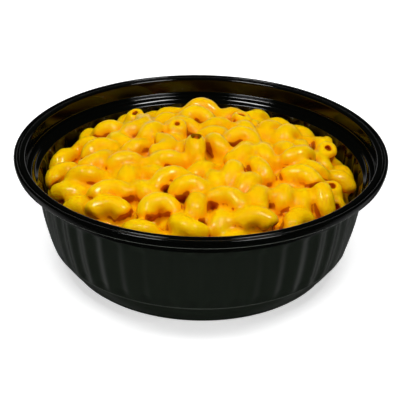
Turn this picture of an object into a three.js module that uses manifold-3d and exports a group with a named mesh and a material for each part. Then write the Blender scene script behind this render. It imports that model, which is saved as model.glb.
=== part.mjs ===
// Macaroni and cheese in a fluted take-away bowl. Millimetres, +Z up. The origin is the centre of the bowl's
// base, on the surface that it stands on, and the side from which the heap is seen best faces -Y.
import * as THREE from "three";
import { mergeVertices } from "three/addons/utils/BufferGeometryUtils.js";
import Module from "manifold-3d";

const { degToRad, smoothstep } = THREE.MathUtils;

// ---- the bowl
const LIP_RADIUS = 80; // outermost edge of the lip
const LIP_HEIGHT = 51.4; // the plane of that edge above the base
const WALL = 0.8; // thickness of the moulded wall
const SKIRT = 3; // how far the lip's edge turns down
const CREST_RADIUS = 75; // inner edge of the flange
const CREST_RISE = 0.5; // the flange's inner edge above the lip's outer edge
const LEDGE_DEPTH = 6.6; // the upright band that holds a lid, from the crest down to its ledge
const LEDGE_RADIUS = 72.4; // inner edge of that ledge
const THROAT_DEPTH = 9.8; // where the fluted wall begins, below the lip
const THROAT_RADIUS = 70.5; // outside radius of the wall there
const FOOT_HEIGHT = 12; // smooth band between the base and the flutes
const FOOT_RADIUS = 64.3; // outside radius at the top of that band
const BASE_RADIUS = 55.3;
const BELLY_SLOPE = 1.81; // the wall narrows by this much in a straight line from throat to foot
const BELLY_CURVE = 3.74; // and by this much more in a parabola
const FLUTES = 42;
const FLUTE_DEPTH = 1.2;
const FLUTE_FADE = 2.6; // length over which a flute runs out at its ends
const RIB_BEARING = degToRad(1); // the first rib stands this far round from the front

// ---- the heap of macaroni
const HEAP_TOP = 1.5; // the heap's middle above the lip's plane
const FRONT_FALL = 10.5; // how much lower its edge is at the front
const BACK_FALL = 20; // and at the back
const FALL_TURN = [-45, 15]; // between these places, from front to back, the one fall turns into the other
const HEAP_RADIUS = 66; // where the fall is reached
const CORE_DEPTH = 6.6; // the solid middle lies this far under the heap's surface
const HEAP_GAP = 0.4; // between the food and the flutes of the wall
const ROOM_TOP = 40; // above this height the food has no more room than at it
const CROWN_SINK = 4.3; // an elbow on top has its middle this far under the heap's surface
const BED_SINK = 4.2; // the elbows of the bed, which prop those on top, lie lower by this much more
const PRESS = 0.9; // soft elbows lie at this share of the distance between two round tubes
const OVERHANG = 2.6; // tube beyond the first and the last bead of an elbow, up to its cut ends
const CORNER_REACH = 0.7; // the edge of a cut end reaches this much further than the round of the tube
const BORE_RADIUS = 1.7;
const BORE_DEPTH = 4;
const BEADS = 5; // balls along an elbow's centre line that stand for it while it settles
const SPREAD = 66; // radius of the spiral over which elbows are scattered
const SCATTER = 4; // how far from its place on the spiral an elbow may lie
const TRIES = 12; // elbows drawn for each place, of which the clearest is kept
const ROUNDS = 60; // steps in which the elbows settle
const PUSH = 0.12; // share of an overlap that one step takes away
const RETURN = 0.1; // share of its way back to its own height that an elbow goes in one step
const LANDMARK_YIELD = 0.35; // an elbow laid by hand moves by this share of what the others do
const NEIGHBOURHOOD = 30; // elbows whose middles are further apart than this never touch
const LANDMARK_SIDES = 6; // sides of the tubes that catch the eye
const FILL_SIDES = 5; // and of the others
const STEP_ANGLE = 1.3; // the bend, in radians, that one straight stretch of a tube may stand for
const GOLDEN_ANGLE = Math.PI * (3 - Math.sqrt(5));
const SEED = 21;

// How an elbow lies: bend radius of its centre line, sweep from its first to its last bead, the way its back
// points within the arc's plane, the lean of that plane from lying flat, and the radius of the sauced tube.
const POSTURES = {
  hump: { bend: 5.3, sweep: 120, spin: 90, lean: 66, tube: 4.5 },
  hoop: { bend: 5.2, sweep: 140, spin: 90, lean: 44, tube: 4.5 },
  flat: { bend: 5.4, sweep: 150, spin: 90, lean: 14, tube: 4.55 },
  long: { bend: 8.2, sweep: 84, spin: 90, lean: 46, tube: 4.45 },
  post: { bend: 5.6, sweep: 105, spin: 90, lean: 84, tube: 4.4 },
  prop: { bend: 8.6, sweep: 70, spin: 45, lean: 90, tube: 4.4 },
  mouth: { bend: 5.8, sweep: 90, spin: -125, lean: 90, tube: 4.45 },
  spout: { bend: 5.8, sweep: 90, spin: -90, lean: 90, tube: 4.4 },
};

// The elbows that catch the eye: posture, x, y, lift above the others, and turn about the vertical.
const LANDMARKS = [
  ["hump", 2, 46, 4.5, -10],
  ["hump", -13, 47, 1.5, 20],
  ["post", 13, 45, 1.5, 40],
  ["hump", 24, 46, 1.5, 60],
  ["hump", 34, 38, 1, -30],
  ["hoop", -2, 36, 2.3, 0],
  ["mouth", -32, 41, 2, -115],
  ["mouth", 21, 36, 1, 0],
  ["hump", -38, 28, 2, -15],
  ["post", 46, 27, 0.5, 20],
  ["hump", -49, 20, 1, -30],
  ["post", -58, 13, 4, 60],
  ["mouth", -10, 18, 0, -100],
  ["hoop", 19, 12, 2.5, -10],
  ["spout", 53, 16, 5.5, -80],
  ["hoop", -43, 6, 2, 15],
  ["prop", -3, -7, 3.5, -90],
  ["hump", 60, 5, 1, -70],
  ["flat", -60, -8, 3.5, 30],
  ["hump", 57, -9, 2, -10],
  ["long", 43, -17, 3, -25],
  ["post", 14, -21, 3, 85],
  ["hoop", -12, -27, 2.5, 15],
  ["mouth", 62, -27, 1, -80],
  ["prop", 49, -32, 3, -80],
  ["long", -37, -32, 2.5, 5],
  ["long", -37, -42, 2.5, -5],
  ["long", 12, -41, 3, -30],
  ["hoop", -17, -46, 3, 15],
  ["post", -3, -46, 2.5, 85],
  ["long", 21, -51, 3, 5],
];

// The others are scattered: places on the spiral, postures to draw from, how far their middles lie from the
// height of the layer, and the distance between centre lines that a new elbow keeps.
const CROWN_FILL = {
  places: 260,
  postures: ["hump", "hoop", "long", "hump", "post", "hump", "flat", "post"],
  lift: [-1.5, 2.5],
  clearance: 6.3,
};
const BED_FILL = {
  places: 160,
  postures: ["flat", "long", "hoop"],
  lift: [-BED_SINK - 1, -BED_SINK + 1],
  clearance: 6.8,
};

const wasm = await Module();
wasm.setup();

// A closed geometry as a solid that can be joined and cut.
function toSolid(geometry) {
  const bare = geometry.clone();
  bare.deleteAttribute("normal");
  bare.deleteAttribute("uv");
  const merged = mergeVertices(bare, 1e-4);
  return new wasm.Manifold(
    new wasm.Mesh({
      numProp: 3,
      vertProperties: merged.attributes.position.array,
      triVerts: new Uint32Array(merged.index.array),
    }),
  );
}

function toGeometry(solid) {
  const mesh = solid.getMesh();
  const geometry = new THREE.BufferGeometry();
  geometry.setAttribute("position", new THREE.BufferAttribute(mesh.vertProperties, 3));
  geometry.setIndex(new THREE.BufferAttribute(mesh.triVerts, 1));
  geometry.computeVertexNormals();
  return geometry;
}

// A profile of [radius, height] turned about the vertical.
function turned(profile, segments) {
  const points = profile.map(([radius, height]) => new THREE.Vector2(radius, height));
  return new THREE.LatheGeometry(points, segments).rotateX(Math.PI / 2);
}

// ---- bowl

const fluteTop = LIP_HEIGHT - THROAT_DEPTH;

// Outside radius of the fluted wall on its ribs.
function wallRadius(height) {
  const down = (fluteTop - height) / (fluteTop - FOOT_HEIGHT);
  return THROAT_RADIUS - BELLY_SLOPE * down - BELLY_CURVE * down ** 2;
}

// Outside radius of the smooth foot, which leans in more and more towards the base.
function footRadius(height) {
  return FOOT_RADIUS - (FOOT_RADIUS - BASE_RADIUS) * (1 - height / FOOT_HEIGHT) ** 1.2;
}

// How far the wall is drawn in at a bearing and a height: nothing on the ribs, most between them.
function fluteDraw(bearing, height) {
  const across = (1 - Math.cos(FLUTES * (bearing - RIB_BEARING))) / 2;
  const fadeIn = smoothstep(height, FOOT_HEIGHT, FOOT_HEIGHT + FLUTE_FADE);
  const fadeOut = 1 - smoothstep(height, fluteTop - FLUTE_FADE, fluteTop);
  return FLUTE_DEPTH * across * fadeIn * fadeOut;
}

function bowlGeometry() {
  const crest = LIP_HEIGHT + CREST_RISE;
  const ledge = LIP_HEIGHT - LEDGE_DEPTH;
  const outside = [
    [0, 0],
    [BASE_RADIUS - 1, 0],
    [BASE_RADIUS + 0.6, 0.7],
    ...[5, FOOT_HEIGHT - 0.6].map((height) => [footRadius(height), height]),
    ...[0.2, 3, 11, 20].map((rise) => [wallRadius(FOOT_HEIGHT + rise), FOOT_HEIGHT + rise]),
    [wallRadius(fluteTop - FLUTE_FADE), fluteTop - FLUTE_FADE],
    [THROAT_RADIUS, fluteTop],
    [CREST_RADIUS + WALL, ledge - WALL],
    [CREST_RADIUS + WALL, crest - 1.1],
  ];
  const lip = [
    [LIP_RADIUS - 1.3, LIP_HEIGHT - SKIRT],
    [LIP_RADIUS - 0.5, LIP_HEIGHT - SKIRT],
    [LIP_RADIUS, LIP_HEIGHT - 0.2],
    [LIP_RADIUS - 0.7, LIP_HEIGHT + 0.3],
    [LIP_RADIUS - 1.5, LIP_HEIGHT - 0.2],
    [LIP_RADIUS - 2.2, LIP_HEIGHT + 0.1],
    [CREST_RADIUS + 0.9, crest],
    [CREST_RADIUS, crest - 0.7],
  ];
  const inside = [
    [CREST_RADIUS, ledge + 0.2],
    [LEDGE_RADIUS, ledge - 0.3],
    [LEDGE_RADIUS - 1.5, ledge - 1.6],
    [THROAT_RADIUS - WALL, fluteTop],
    [wallRadius(fluteTop - FLUTE_FADE) - WALL, fluteTop - FLUTE_FADE],
    ...[13, 3].map((rise) => [wallRadius(FOOT_HEIGHT + rise) - WALL, FOOT_HEIGHT + rise]),
    [footRadius(FOOT_HEIGHT - 1) - WALL, FOOT_HEIGHT - 1],
    [BASE_RADIUS - 0.6, WALL],
    [0, WALL],
  ];
  const geometry = turned([...outside, ...lip, ...inside], 2 * FLUTES).rotateZ(RIB_BEARING);
  const corner = geometry.attributes.position;
  for (let i = 0; i < corner.count; i++) {
    const radius = Math.hypot(corner.getX(i), corner.getY(i));
    if (radius < BASE_RADIUS) continue;
    const bearing = Math.atan2(corner.getX(i), -corner.getY(i));
    const drawn = 1 - fluteDraw(bearing, corner.getZ(i)) / radius;
    corner.setXY(i, corner.getX(i) * drawn, corner.getY(i) * drawn);
  }
  return geometry;
}

// ---- heap

// Height of the heap's surface: a flat dome that falls away towards the wall, and most at the back.
function heapHeight(x, y) {
  const fall = FRONT_FALL + (BACK_FALL - FRONT_FALL) * smoothstep(y, ...FALL_TURN);
  return LIP_HEIGHT + HEAP_TOP - fall * (Math.hypot(x, y) / HEAP_RADIUS) ** 4;
}

// How far out the food may reach at a height, clear of the flutes.
function roomRadius(height) {
  return wallRadius(Math.min(height, ROOM_TOP)) - WALL - FLUTE_DEPTH - HEAP_GAP;
}

// The solid middle: it fills the bowl inside the flutes and ends in a smaller dome, which is turned flat, at
// the lip's height, and then lowered.
function coreGeometry() {
  const floor = WALL + HEAP_GAP;
  const top = 22; // of the core's upright side
  const side = [FOOT_HEIGHT, top].map((height) => [roomRadius(height), height]);
  const dome = [1, 0.9, 0.75, 0.5, 0].map((share) => [share * roomRadius(top), LIP_HEIGHT]);
  const geometry = turned([[0, floor], [BASE_RADIUS - 3, floor], ...side, ...dome], FLUTES);
  const corner = geometry.attributes.position;
  for (let i = 0; i < corner.count; i++) {
    if (corner.getZ(i) > top + 1) corner.setZ(i, heapHeight(corner.getX(i), corner.getY(i)) - CORE_DEPTH);
  }
  return geometry;
}

// The same random numbers on every run.
let state = SEED;
function draw(low, high) {
  state = (state * 48271) % 2147483647;
  return low + ((high - low) * state) / 2147483647;
}

// The centre line of an elbow, from one cut end to the other: an arc about its own middle, turned to lie as
// it does in the heap.
class ElbowLine extends THREE.Curve {
  constructor({ bend, sweep, spin, lean, turn }) {
    super();
    this.bend = bend;
    this.sweep = sweep;
    this.overhang = OVERHANG / bend;
    this.middle = Math.sin(sweep / 2) / (sweep / 2); // the arc's centroid, as a share of the bend radius
    this.lay = new THREE.Matrix4()
      .makeRotationZ(turn)
      .multiply(new THREE.Matrix4().makeRotationX(lean))
      .multiply(new THREE.Matrix4().makeRotationZ(spin));
    this.place = new THREE.Vector3();
  }

  getPoint(share, target = new THREE.Vector3()) {
    const angle = (share - 0.5) * (this.sweep + 2 * this.overhang);
    target.set(this.bend * (Math.cos(angle) - this.middle), this.bend * Math.sin(angle), 0);
    return target.applyMatrix4(this.lay).add(this.place);
  }

  beads() {
    const whole = this.sweep + 2 * this.overhang;
    return Array.from({ length: BEADS }, (_, i) =>
      this.getPoint((this.overhang + (this.sweep * i) / (BEADS - 1)) / whole),
    );
  }

  // Moves an elbow of the given tube radius towards the middle until it is clear of the wall.
  moveInside(tube) {
    const excess = ({ x, y, z }) => 1 - (roomRadius(z) - tube - CORNER_REACH) / Math.hypot(x, y);
    const worst = this.beads().reduce((a, b) => (excess(b) > excess(a) ? b : a));
    const share = Math.max(0, excess(worst));
    this.place.x -= worst.x * share;
    this.place.y -= worst.y * share;
  }
}

// An elbow in one of the postures, at a place on the heap.
function laidElbow(posture, x, y, lift, turn, size = 1, moreLean = 0) {
  const { bend, sweep, spin, lean, tube: widest } = POSTURES[posture];
  const tube = widest * Math.min(size, 1);
  const line = new ElbowLine({
    bend: bend * size,
    sweep: degToRad(sweep),
    spin: degToRad(spin),
    lean: degToRad(lean) + moreLean,
    turn,
  });
  line.place.set(x, y, heapHeight(x, y) - CROWN_SINK + lift);
  line.moveInside(tube);
  line.place.z = heapHeight(line.place.x, line.place.y) - CROWN_SINK + lift;
  return { line, tube, yielding: 1, sides: FILL_SIDES, bored: false };
}

function landmarkElbow([posture, x, y, lift, turn]) {
  const elbow = laidElbow(posture, x, y, lift, degToRad(turn));
  const bored = posture === "mouth" || posture === "spout";
  return { ...elbow, yielding: LANDMARK_YIELD, sides: LANDMARK_SIDES, bored };
}

// An elbow of drawn posture, size and turn near a place.
function drawnElbow(x, y, { postures, lift }) {
  const posture = postures[Math.floor(draw(0, postures.length))];
  const nearX = x + draw(-SCATTER, SCATTER);
  const nearY = y + draw(-SCATTER, SCATTER);
  const rise = draw(...lift);
  const turn = draw(0, 2 * Math.PI);
  const size = draw(0.92, 1.1);
  const moreLean = draw(-0.2, 0.2);
  return laidElbow(posture, nearX, nearY, rise, turn, size, moreLean);
}

// The least distance from an elbow's beads to a list of beads.
function clearance(elbow, beads) {
  let least = Infinity;
  for (const bead of elbow.line.beads()) {
    for (const other of beads) least = Math.min(least, bead.distanceTo(other));
  }
  return least;
}

// Fills a layer over a sunflower spiral. Of the elbows drawn for a place the clearest one is kept, if its
// beads are far enough from those of the layer.
function scatter(layer, fill) {
  const beads = layer.flatMap(({ line }) => line.beads());
  for (let seat = 0; seat < fill.places; seat++) {
    const radius = SPREAD * Math.sqrt((seat + 0.5) / fill.places);
    const bearing = seat * GOLDEN_ANGLE;
    let best = null;
    let clearest = fill.clearance;
    for (let k = 0; k < TRIES; k++) {
      const elbow = drawnElbow(radius * Math.cos(bearing), radius * Math.sin(bearing), fill);
      const clear = clearance(elbow, beads);
      if (clear > clearest) {
        best = elbow;
        clearest = clear;
      }
    }
    if (best === null) continue;
    layer.push(best);
    beads.push(...best.line.beads());
  }
}

// The way in which the elbows near one of them push it.
function pushOn(elbow, elbows, beads) {
  const move = new THREE.Vector3();
  const own = beads.get(elbow);
  for (const other of elbows) {
    if (other === elbow || elbow.line.place.distanceTo(other.line.place) > NEIGHBOURHOOD) continue;
    const need = PRESS * (elbow.tube + other.tube);
    for (const bead of own) {
      for (const near of beads.get(other)) {
        const distance = Math.max(bead.distanceTo(near), 0.1);
        if (distance >= need) continue;
        move.addScaledVector(bead.clone().sub(near), (PUSH * (need - distance)) / distance);
      }
    }
  }
  return move.multiplyScalar(elbow.yielding);
}

// Pushes elbows apart. Where beads of two of them are nearer than soft tubes lie, each moves away from the
// other by a share of what is missing, and then goes back towards its own height by a share.
function settle(elbows) {
  const home = elbows.map(({ line }) => line.place.z);
  for (let round = 0; round < ROUNDS; round++) {
    const beads = new Map(elbows.map((elbow) => [elbow, elbow.line.beads()]));
    const moves = elbows.map((elbow) => pushOn(elbow, elbows, beads));
    elbows.forEach(({ line, tube }, i) => {
      line.place.add(moves[i]);
      line.place.z += RETURN * (home[i] - line.place.z);
      line.moveInside(tube);
    });
  }
}

// A straight-cut elbow with few sides.
function elbowSolid({ line, tube, sides }) {
  const ring = Array.from({ length: sides }, (_, i) => {
    const angle = ((i + 0.5) / sides) * 2 * Math.PI;
    return new THREE.Vector2(tube * Math.cos(angle), tube * Math.sin(angle));
  });
  const steps = Math.ceil((line.sweep + 2 * line.overhang) / STEP_ANGLE);
  return toSolid(new THREE.ExtrudeGeometry(new THREE.Shape(ring), { extrudePath: line, steps }));
}

// The hollow at one end of an elbow, as a plug to cut away.
function boreSolid(line, share) {
  const mouth = line.getPoint(share);
  const inward = line.getTangent(share).multiplyScalar(share < 0.5 ? 1 : -1);
  const plug = new THREE.CylinderGeometry(BORE_RADIUS, BORE_RADIUS, 2 * BORE_DEPTH, 6);
  plug.applyQuaternion(new THREE.Quaternion().setFromUnitVectors(new THREE.Vector3(0, 1, 0), inward));
  return toSolid(plug.translate(mouth.x, mouth.y, mouth.z));
}

// The core with the elbows on top fused on. Of the bed so little would show that the core stands for it.
function heapGeometry() {
  const crown = LANDMARKS.map(landmarkElbow);
  scatter(crown, CROWN_FILL);
  const bed = [];
  scatter(bed, BED_FILL);
  settle([...crown, ...bed]);
  let heap = toSolid(coreGeometry());
  for (const elbow of crown) heap = heap.add(elbowSolid(elbow));
  for (const { line, bored } of crown) {
    if (bored) heap = heap.subtract(boreSolid(line, 0)).subtract(boreSolid(line, 1));
  }
  // Sealed hollows and loose scraps are the smaller bodies.
  const [largest] = heap.decompose().sort((a, b) => b.volume() - a.volume());
  return toGeometry(largest);
}

// ---- the part

function piece(name, geometry, material) {
  const mesh = new THREE.Mesh(geometry, material);
  mesh.name = name;
  return mesh;
}

const blackPlastic = new THREE.MeshStandardMaterial({ color: 0x15191a, roughness: 0.28, metalness: 0 });
const cheeseSauce = new THREE.MeshStandardMaterial({ color: 0xf0a80c, roughness: 0.32, metalness: 0 });

const macAndCheese = new THREE.Group();
macAndCheese.add(
  piece("bowl", bowlGeometry(), blackPlastic),
  piece("macaroni", heapGeometry(), cheeseSauce),
);

export default macAndCheese;
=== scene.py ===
"""Macaroni and cheese in a fluted take-away bowl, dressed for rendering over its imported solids.

The bowl is one profile carried round the vertical. The heap is worked out as a distance field: every elbow is
a bent tube with cut ends, and the fields are blended so that sauce fills the joints between the tubes.
Lengths inside the functions are millimetres, and meshes are written in metres.
"""

import math

import bmesh
import bpy
import numpy as np
from bpy.props import FloatProperty, FloatVectorProperty, IntProperty, PointerProperty
from mathutils import Matrix, Vector


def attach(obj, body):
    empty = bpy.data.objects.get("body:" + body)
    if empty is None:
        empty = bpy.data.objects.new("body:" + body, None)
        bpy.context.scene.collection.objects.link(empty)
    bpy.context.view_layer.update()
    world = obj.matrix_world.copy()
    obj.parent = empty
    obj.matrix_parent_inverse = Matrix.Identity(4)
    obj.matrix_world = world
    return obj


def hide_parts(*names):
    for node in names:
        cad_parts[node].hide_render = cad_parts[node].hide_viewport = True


bl_info = {
    "name": "Macaroni and Cheese Bowl",
    "version": (1, 0, 0),
    "blender": (4, 5, 0),
    "location": "View3D > Sidebar > Macaroni",
    "description": "Builds a fluted bowl heaped with sauced elbow macaroni, and a plain studio round it",
    "category": "Add Mesh",
}

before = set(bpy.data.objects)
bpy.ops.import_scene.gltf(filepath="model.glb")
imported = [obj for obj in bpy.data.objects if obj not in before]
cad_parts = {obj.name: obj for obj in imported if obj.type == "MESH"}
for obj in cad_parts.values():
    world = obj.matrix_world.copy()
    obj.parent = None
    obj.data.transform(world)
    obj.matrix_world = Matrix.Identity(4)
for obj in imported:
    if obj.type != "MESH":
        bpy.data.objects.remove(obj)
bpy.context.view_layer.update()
MM = 0.001

# ---- the bowl's fixed proportions, in millimetres
SKIRT = 3.0  # how far the lip's edge turns down
CREST_RADIUS = 75.0  # inner edge of the flange
CREST_RISE = 0.5  # that edge above the lip's outer edge
LEDGE_DEPTH = 6.6  # the upright band that holds a lid, down to its ledge
LEDGE_RADIUS = 72.4
THROAT_DEPTH = 9.8  # where the fluted wall begins, below the lip
THROAT_RADIUS = 70.5
FOOT_HEIGHT = 12.0  # smooth band between the base and the flutes
FOOT_RADIUS = 64.3
FOOT_POWER = 1.2  # how the foot leans in over its height
FOOT_ROWS = (3.4, 5.2, 7.0, 8.8)  # heights of the points that its side follows
BASE_RADIUS = 55.3
BELLY_SLOPE = 1.81  # the wall narrows by this much in a straight line
BELLY_CURVE = 3.74  # and by this much more in a parabola
FLUTE_FADE = 2.6  # length over which a flute runs out
RIB_BEARING = math.radians(1)  # the first rib stands this far round from the front
BEAD_HEIGHT = 1.9  # top of the bead round the edge of the base
BEAD_OUT = 0.35  # how far that bead stands out
SHOULDER_OUT = 0.45  # how far the ridge between the foot and the flutes stands out
RIDGE_RISE = 0.45  # the ridge along the lip's edge above the lip's plane, and the groove inside it below
RIDGE_WIDTH = 1.4
GROOVE_START, GROOVE_END = 1.7, 2.1  # the groove's floor, in from the lip's edge
SHELF_START, SHELF_RISE = 2.4, 0.3  # where the flange goes on inward from the groove, and at which height
SATIN_HEIGHT = 43.0  # the outside of the wall is satin below this height
SATIN_FADE = 0.5  # height over which the satin begins
EDGE_HIGHLIGHT_WIDTH = 0.13  # half the width of the painted highlight lines, a paler colour along three edges of the profile
FLUTE_FACETS = 9  # faces round each flute
CORNER_FACETS = 4  # faces round each rounded corner of the profile
WALL_ROWS = 17  # rows of points up the fluted wall
MOST_REACH = 0.49  # most share of a side that a rounding takes
GUARD = 0.12  # a point this far past a rounding keeps the side flat under smooth shading

# ---- the heap's fixed proportions, in millimetres
HEAP_RADIUS = 66.0  # where the heap has fallen by its full fall
FALL_TURN = (-45.0, 15.0)  # between these places, from front to back, the one fall turns into the other
ROOM_TOP = 40.0  # above this height the food has no more room than at it
CORE_DEPTH = 6.6  # the sauce between the elbows stands this far under the heap's surface
CROWN_SINK = 4.3  # an elbow on top has its middle this far under the surface
BED_SINK = 4.2  # the elbows that show between them lie lower by this much more
PRESS = 0.9  # soft elbows lie at this share of the distance between two round tubes
OVERHANG = 2.6  # tube beyond the first and the last bead, up to the cut ends
CORNER_REACH = 0.7  # the edge of a cut end reaches this much further than the round of the tube
BEADS = 5  # balls along a centre line that stand for the elbow while it settles
SPREAD = 66.0  # radius of the spiral over which elbows are scattered
SCATTER = 4.0  # how far from its place on the spiral an elbow may lie
TRIES = 12  # elbows drawn for each place, of which the clearest is kept
SIZES = (0.92, 1.1)  # range of an elbow's size against its posture's
LEANS = (-0.2, 0.2)  # and of its lean, in radians
ROUNDS = 60  # steps in which the elbows settle
PUSH = 0.12  # share of an overlap that one step takes away
RETURN = 0.1  # share of its way back to its own height that an elbow goes in one step
LANDMARK_YIELD = 0.35  # a listed landmark elbow moves by this share of what the others do
GOLDEN_ANGLE = math.pi * (3 - math.sqrt(5))
LEHMER_FACTOR, LEHMER_PRIME = 48271, 2**31 - 1  # of the draws
FINISH_SEED = 77  # start of the draws for tones and open ends
HEAP_GAP = 0.4  # between the food and the flutes of the bowl

# ---- the sauced surface, in millimetres
END_ROUND = 2.2  # rounding of a cut end under its sauce
BORE_ROUND = 0.9  # rounding of the hollow's mouth
TUBE_SHARE = 0.99  # the sauced tube's radius as a share of the posture's
END_THINNING = 0.035  # by which share the tube is thinner at its ends
END_LENGTH = 5.0  # length over which it thins
BORE_FLATNESS = 1.25  # the hollow is this much narrower across the plane of the bend
BORES = (1.4, 1.9)  # range of a hollow's radius
BORE_DEPTHS = (-6.0, 3.0)  # range of its depth: below 0 the sauce has closed it
OPEN_DEPTH = 3.5  # depth of the hollows that are always open
FIELD_FLOOR = 24.0  # the dressed heap is cut flat at this height, inside the sauce under it
SPARE_ASIDE, SPARE_BELOW, SPARE_ABOVE = 1.7, 1.5, 7.0  # the grid reaches this much further than the food
WINDOW_MARGIN = 2.6  # an elbow's distances are worked out this far round it
CORE_SLOPE = 0.8  # share of a height above the core that counts as a distance from it
CORE_INSET = 1.6  # the core stands this far in from where the food may reach
CORE_ROUND = 3.0  # rounding of the core's edge
RIPPLE, FINE_RIPPLE = 0.09, 0.08  # heights of the waves in the sauce
RELAX_ROUNDS = 3  # steps in which the mesh is evened out
PROBES = (1.6, 3.6)  # how far out the openness of the surface is felt
CORE_FACETS = 96  # faces round the sauce under the heap
CORE_ROWS = (12, 18, 23)  # heights at which its side follows the bowl
CORE_OVERLAP = 1.3  # how far it reaches into the heap over it
CORE_CREVICE = 0.6  # how closed in it counts as, for its colour, which gives it some of the painted crevice shade

# How an elbow lies: bend radius of its centre line, sweep from its first to its last bead, the way its back
# points within the arc's plane, the lean of that plane from lying flat, and the radius of the sauced tube.
POSTURES = {
    "hump": (5.3, 120, 90, 66, 4.5),
    "hoop": (5.2, 140, 90, 44, 4.5),
    "flat": (5.4, 150, 90, 14, 4.55),
    "long": (8.2, 84, 90, 46, 4.45),
    "post": (5.6, 105, 90, 84, 4.4),
    "prop": (8.6, 70, 45, 90, 4.4),
    "mouth": (5.8, 90, -125, 90, 4.45),
    "spout": (5.8, 90, -90, 90, 4.4),
}
OPEN_POSTURES = ("mouth", "spout")  # listed in one of these postures, a landmark elbow shows its bore

# The elbows that catch the eye: posture, x, y, lift above the others, and turn about the vertical.
LANDMARKS = [
    ("hump", 2, 46, 4.5, -10),
    ("hump", -13, 47, 1.5, 20),
    ("post", 13, 45, 1.5, 40),
    ("hump", 24, 46, 1.5, 60),
    ("hump", 34, 38, 1, -30),
    ("hoop", -2, 36, 2.3, 0),
    ("mouth", -32, 41, 2, -115),
    ("mouth", 21, 36, 1, 0),
    ("hump", -38, 28, 2, -15),
    ("post", 46, 27, 0.5, 20),
    ("hump", -49, 20, 1, -30),
    ("post", -58, 13, 4, 60),
    ("mouth", -10, 18, 0, -100),
    ("hoop", 19, 12, 2.5, -10),
    ("spout", 53, 16, 5.5, -80),
    ("hoop", -43, 6, 2, 15),
    ("prop", -3, -7, 3.5, -90),
    ("hump", 60, 5, 1, -70),
    ("flat", -60, -8, 3.5, 30),
    ("hump", 57, -9, 2, -10),
    ("long", 43, -17, 3, -25),
    ("post", 14, -21, 3, 85),
    ("hoop", -12, -27, 2.5, 15),
    ("mouth", 62, -27, 1, -80),
    ("prop", 49, -32, 3, -80),
    ("long", -37, -32, 2.5, 5),
    ("long", -37, -42, 2.5, -5),
    ("long", 12, -41, 3, -30),
    ("hoop", -17, -46, 3, 15),
    ("post", -3, -46, 2.5, 85),
    ("long", 21, -51, 3, 5),
]

# The others are scattered: places on the spiral, postures to draw from, how far their middles lie from the
# height of the layer, and the distance between centre lines that a new elbow keeps.
CROWN_FILL = (260, ("hump", "hoop", "long", "hump", "post", "hump", "flat", "post"), (-1.5, 2.5), 6.3)
BED_FILL = (160, ("flat", "long", "hoop"), (-BED_SINK - 1.0, -BED_SINK + 1.0), 6.8)

# ---- the stage's fixed places and sizes, in metres
TARGET = (0, 0, 0.04)  # what the lights point at
SIDE_LIGHT_PLACE, SIDE_LIGHT_SIZE = (0.36, -0.22, 1.01), (0.33, 0.17)
TOP_LIGHT_PLACE, TOP_LIGHT_SIZE = (0, 0.3, 1.5), (4.0, 4.0)
FRONT_LIGHT_PLACE, FRONT_LIGHT_SIZE = (1.1, -1.1, 0.72), (1.2, 1.2)
FLOOR_REACH = 4.0  # from the middle of the floor to its sides
ROOM_GLOW = 0.012  # brightness of the room where it is dark


def smoothstep(value, low, high):
    """0 below low, 1 above high, and 3t^2 - 2t^3 of the share t between them."""
    share = np.clip((value - low) / (high - low), 0, 1)
    return share * share * (3 - 2 * share)


# ---------------------------------------------------------------- settings


class BowlSettings(bpy.types.PropertyGroup):
    """Sizes and finish of the moulded bowl."""

    lip_radius: FloatProperty(
        name="Lip radius", description="Outermost edge of the lip", default=80 * MM, unit="LENGTH"
    )
    lip_height: FloatProperty(
        name="Lip height", description="Plane of the lip's edge above the base", default=51.4 * MM,
        unit="LENGTH",
    )
    wall: FloatProperty(
        name="Wall", description="Thickness of the moulded wall", default=0.8 * MM, unit="LENGTH"
    )
    flutes: IntProperty(name="Flutes", description="Number of flutes round the wall", default=42, min=3)
    flute_depth: FloatProperty(
        name="Flute depth", description="How far the wall is drawn in between two ribs", default=1.2 * MM,
        unit="LENGTH",
    )
    colour: FloatVectorProperty(
        name="Plastic", description="Colour of the plastic", default=(0.0008, 0.001, 0.0007), subtype="COLOR"
    )
    wall_colour: FloatVectorProperty(
        name="Satin plastic", description="Colour of the satin wall", default=(0.0075, 0.0104, 0.007),
        subtype="COLOR",
    )
    roughness: FloatProperty(
        name="Roughness", description="Roughness of the plastic", default=0.08, min=0, max=1, subtype="FACTOR"
    )
    satin: FloatProperty(
        name="Satin", description="Roughness that the lower wall has more", default=0.2, min=0, max=1,
        subtype="FACTOR",
    )
    # painted highlight: thin paler lines along three edges of the profile stand in for the light that these
    # edges catch
    edge_highlight_colour: FloatVectorProperty(
        name="Parting edges", description="Colour of the edges where the mould parts",
        default=(0.15, 0.16, 0.14), subtype="COLOR",
    )


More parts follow.
